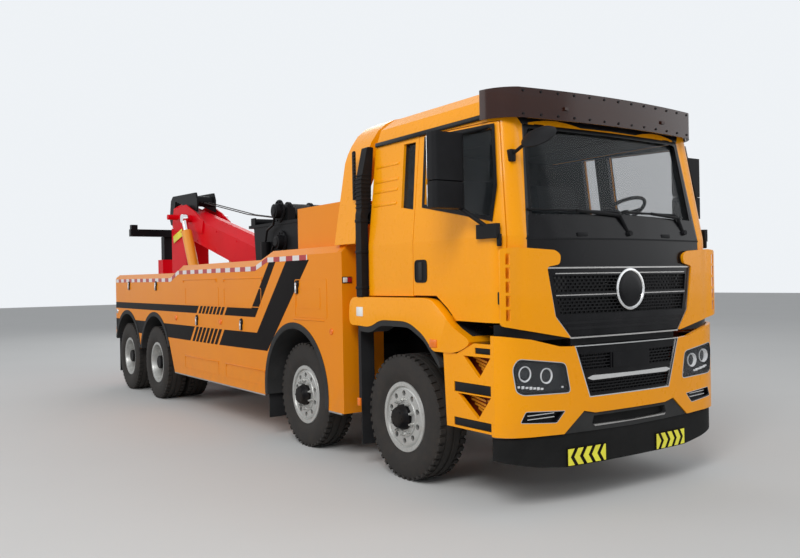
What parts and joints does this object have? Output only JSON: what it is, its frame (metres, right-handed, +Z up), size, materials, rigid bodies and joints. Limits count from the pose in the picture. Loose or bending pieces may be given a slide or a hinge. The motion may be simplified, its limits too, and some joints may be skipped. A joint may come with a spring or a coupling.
{
  "type": "heavy tow truck",
  "caption": "Heavy recovery truck on twin steered and twin driven axles, with a tilting cab, side lockers, winches, a lifting telescopic boom and a folding stinger.",
  "frame": {"origin": "centre of the outline on the ground", "axes": "+Z up, +Y to the vehicle's rear, +X to the vehicle's left"},
  "size_m": [3.1, 11.2885, 3.2629],
  "materials": {
    "cab_orange": "glossy orange-yellow paint",
    "body_orange": "glossy orange paint",
    "boom_red": "glossy red paint",
    "frame_black": "satin black paint",
    "machine_black": "satin black paint",
    "black_plastic": "grained black plastic",
    "gloss_black": "gloss black plastic",
    "smoked_acrylic": "dark smoked acrylic",
    "glass": "clear window glass",
    "lamp_glass": "clear lamp cover",
    "tyre_rubber": "black tyre rubber with steel wheel",
    "interior": "dark grey trim",
    "seat_cloth": "dark grey woven cloth",
    "steel": "machined steel",
    "chrome": "hard chromed rod",
    "cast": "painted casting",
    "rubber_black": "black rubber sheet and plastic liners",
    "cylinder_orange": "glossy orange paint"
  },
  "bodies": {
    "chassis": {"chassis_frame": "frame_black", "engine_block": "cast", "front_axles": "frame_black", "rear_axles": "frame_black", "body_side_left": "body_orange", "body_side_right": "body_orange", "mudguards": "rubber_black", "deck": "body_orange", "tail_panel": "body_orange", "boom_stand": "boom_red", "winches": "machine_black", "front_box": "body_orange", "cab_fairing": "cab_orange", "air_intake": "black_plastic", "front_fenders": "cab_orange", "cab_steps": "cab_orange", "bumper": "cab_orange", "headlamps": "lamp_glass", "lower_grille": "black_plastic", "front_apron": "frame_black"},
    "cab": {"cab_shell": "cab_orange", "cab_roof": "cab_orange", "front_panel": "gloss_black", "upper_grille": "black_plastic", "cab_glass": "glass", "sun_visor": "smoked_acrylic", "dashboard": "interior", "seats": "seat_cloth", "front_mirror": "black_plastic"},
    "left_door": {"door_left": "cab_orange", "door_glass_left": "glass", "mirror_left": "black_plastic"},
    "right_door": {"door_right": "cab_orange", "door_glass_right": "glass", "mirror_right": "black_plastic"},
    "steer_1_left": {"knuckle_1_left": "cast"},
    "roll_1_left": {"wheel_1_left": "tyre_rubber"},
    "steer_1_right": {"knuckle_1_right": "cast"},
    "roll_1_right": {"wheel_1_right": "tyre_rubber"},
    "steer_2_left": {"knuckle_2_left": "cast"},
    "roll_2_left": {"wheel_2_left": "tyre_rubber"},
    "steer_2_right": {"knuckle_2_right": "cast"},
    "roll_2_right": {"wheel_2_right": "tyre_rubber"},
    "roll_3_left": {"wheels_3_left": "tyre_rubber"},
    "roll_3_right": {"wheels_3_right": "tyre_rubber"},
    "roll_4_left": {"wheels_4_left": "tyre_rubber"},
    "roll_4_right": {"wheels_4_right": "tyre_rubber"},
    "boom": {"boom_outer": "boom_red", "mast": "boom_red"},
    "boom_slide": {"boom_inner": "boom_red", "sheave_head": "machine_black"},
    "lift_barrel_pair": {"lift_barrels": "cylinder_orange"},
    "lift_rod_pair": {"lift_rods": "chrome"},
    "stinger": {"stinger_outer": "boom_red"},
    "stinger_arm": {"stinger_inner": "machine_black"},
    "stinger_bar": {"crossbar": "machine_black"}
  },
  "joints": [
    {"name": "cab_tilt", "type": "hinge", "parent": "chassis", "child": "cab", "pos_m": [0, -5.306, 0.8], "axis": [1, 0, 0], "range_deg": [0, 50]},
    {"name": "left_door_swing", "type": "hinge", "parent": "cab", "child": "left_door", "pos_m": [1.16, -5.316, 2], "axis": [0, 0, -1], "range_deg": [0, 70]},
    {"name": "right_door_swing", "type": "hinge", "parent": "cab", "child": "right_door", "pos_m": [-1.16, -5.316, 2], "axis": [0, 0, 1], "range_deg": [0, 70]},
    {"name": "steering_1_left", "type": "hinge", "parent": "chassis", "child": "steer_1_left", "pos_m": [0.87, -3.976, 0.535], "axis": [0, 0, 1], "range_deg": [-35, 35]},
    {"name": "wheel_spin_1_left", "type": "hinge", "parent": "steer_1_left", "child": "roll_1_left", "pos_m": [1.018, -3.976, 0.535], "axis": [1, 0, 0], "continuous": true},
    {"name": "steering_1_right", "type": "hinge", "parent": "chassis", "child": "steer_1_right", "pos_m": [-0.87, -3.976, 0.535], "axis": [0, 0, 1], "range_deg": [-35, 35]},
    {"name": "wheel_spin_1_right", "type": "hinge", "parent": "steer_1_right", "child": "roll_1_right", "pos_m": [-1.018, -3.976, 0.535], "axis": [1, 0, 0], "continuous": true},
    {"name": "steering_2_left", "type": "hinge", "parent": "chassis", "child": "steer_2_left", "pos_m": [0.87, -2.176, 0.535], "axis": [0, 0, 1], "range_deg": [-27, 27]},
    {"name": "wheel_spin_2_left", "type": "hinge", "parent": "steer_2_left", "child": "roll_2_left", "pos_m": [1.018, -2.176, 0.535], "axis": [1, 0, 0], "continuous": true},
    {"name": "steering_2_right", "type": "hinge", "parent": "chassis", "child": "steer_2_right", "pos_m": [-0.87, -2.176, 0.535], "axis": [0, 0, 1], "range_deg": [-27, 27]},
    {"name": "wheel_spin_2_right", "type": "hinge", "parent": "steer_2_right", "child": "roll_2_right", "pos_m": [-1.018, -2.176, 0.535], "axis": [1, 0, 0], "continuous": true},
    {"name": "wheel_spin_3_left", "type": "hinge", "parent": "chassis", "child": "roll_3_left", "pos_m": [0.93, 2.399, 0.535], "axis": [1, 0, 0], "continuous": true},
    {"name": "wheel_spin_3_right", "type": "hinge", "parent": "chassis", "child": "roll_3_right", "pos_m": [-0.93, 2.399, 0.535], "axis": [1, 0, 0], "continuous": true},
    {"name": "wheel_spin_4_left", "type": "hinge", "parent": "chassis", "child": "roll_4_left", "pos_m": [0.93, 3.799, 0.535], "axis": [1, 0, 0], "continuous": true},
    {"name": "wheel_spin_4_right", "type": "hinge", "parent": "chassis", "child": "roll_4_right", "pos_m": [-0.93, 3.799, 0.535], "axis": [1, 0, 0], "continuous": true},
    {"name": "boom_lift", "type": "hinge", "parent": "chassis", "child": "boom", "pos_m": [0, 0.924, 1.96], "axis": [1, 0, 0], "range_deg": [0, 37]},
    {"name": "boom_extend", "type": "slide", "parent": "boom", "child": "boom_slide", "axis": [0, 0.9715, 0.2368], "range_m": [0, 1.5]},
    {"name": "lift_barrel_swing", "type": "hinge", "parent": "chassis", "child": "lift_barrel_pair", "pos_m": [0, 2.783, 1.2], "axis": [1, 0, 0], "range_deg": [0, 31.75]},
    {"name": "lift_rod_slide", "type": "slide", "parent": "lift_barrel_pair", "child": "lift_rod_pair", "axis": [0, 0.4669, 0.8843], "range_m": [0, 1.2567]},
    {"name": "stinger_fold", "type": "hinge", "parent": "boom", "child": "stinger", "pos_m": [0, 5.444, 1.05], "axis": [-1, 0, 0], "range_deg": [0, 95]},
    {"name": "stinger_extend", "type": "slide", "parent": "stinger", "child": "stinger_arm", "axis": [0, 0, 1], "range_m": [0, 0.7]},
    {"name": "crossbar_swivel", "type": "hinge", "parent": "stinger_arm", "child": "stinger_bar", "pos_m": [0, 5.424, 2.64], "axis": [0, 1, 0], "range_deg": [-20, 20]}
  ],
  "couplings": [
    {"joint": "steering_1_right", "follows": "steering_1_left", "ratio": 1},
    {"joint": "steering_2_left", "follows": "steering_1_left", "ratio": 0.75},
    {"joint": "steering_2_right", "follows": "steering_1_left", "ratio": 0.75},
    {"joint": "lift_barrel_swing", "follows": "boom_lift", "ratio": 0.85534},
    {"joint": "lift_rod_slide", "follows": "boom_lift", "m_per_rad": 1.9444}
  ]
}
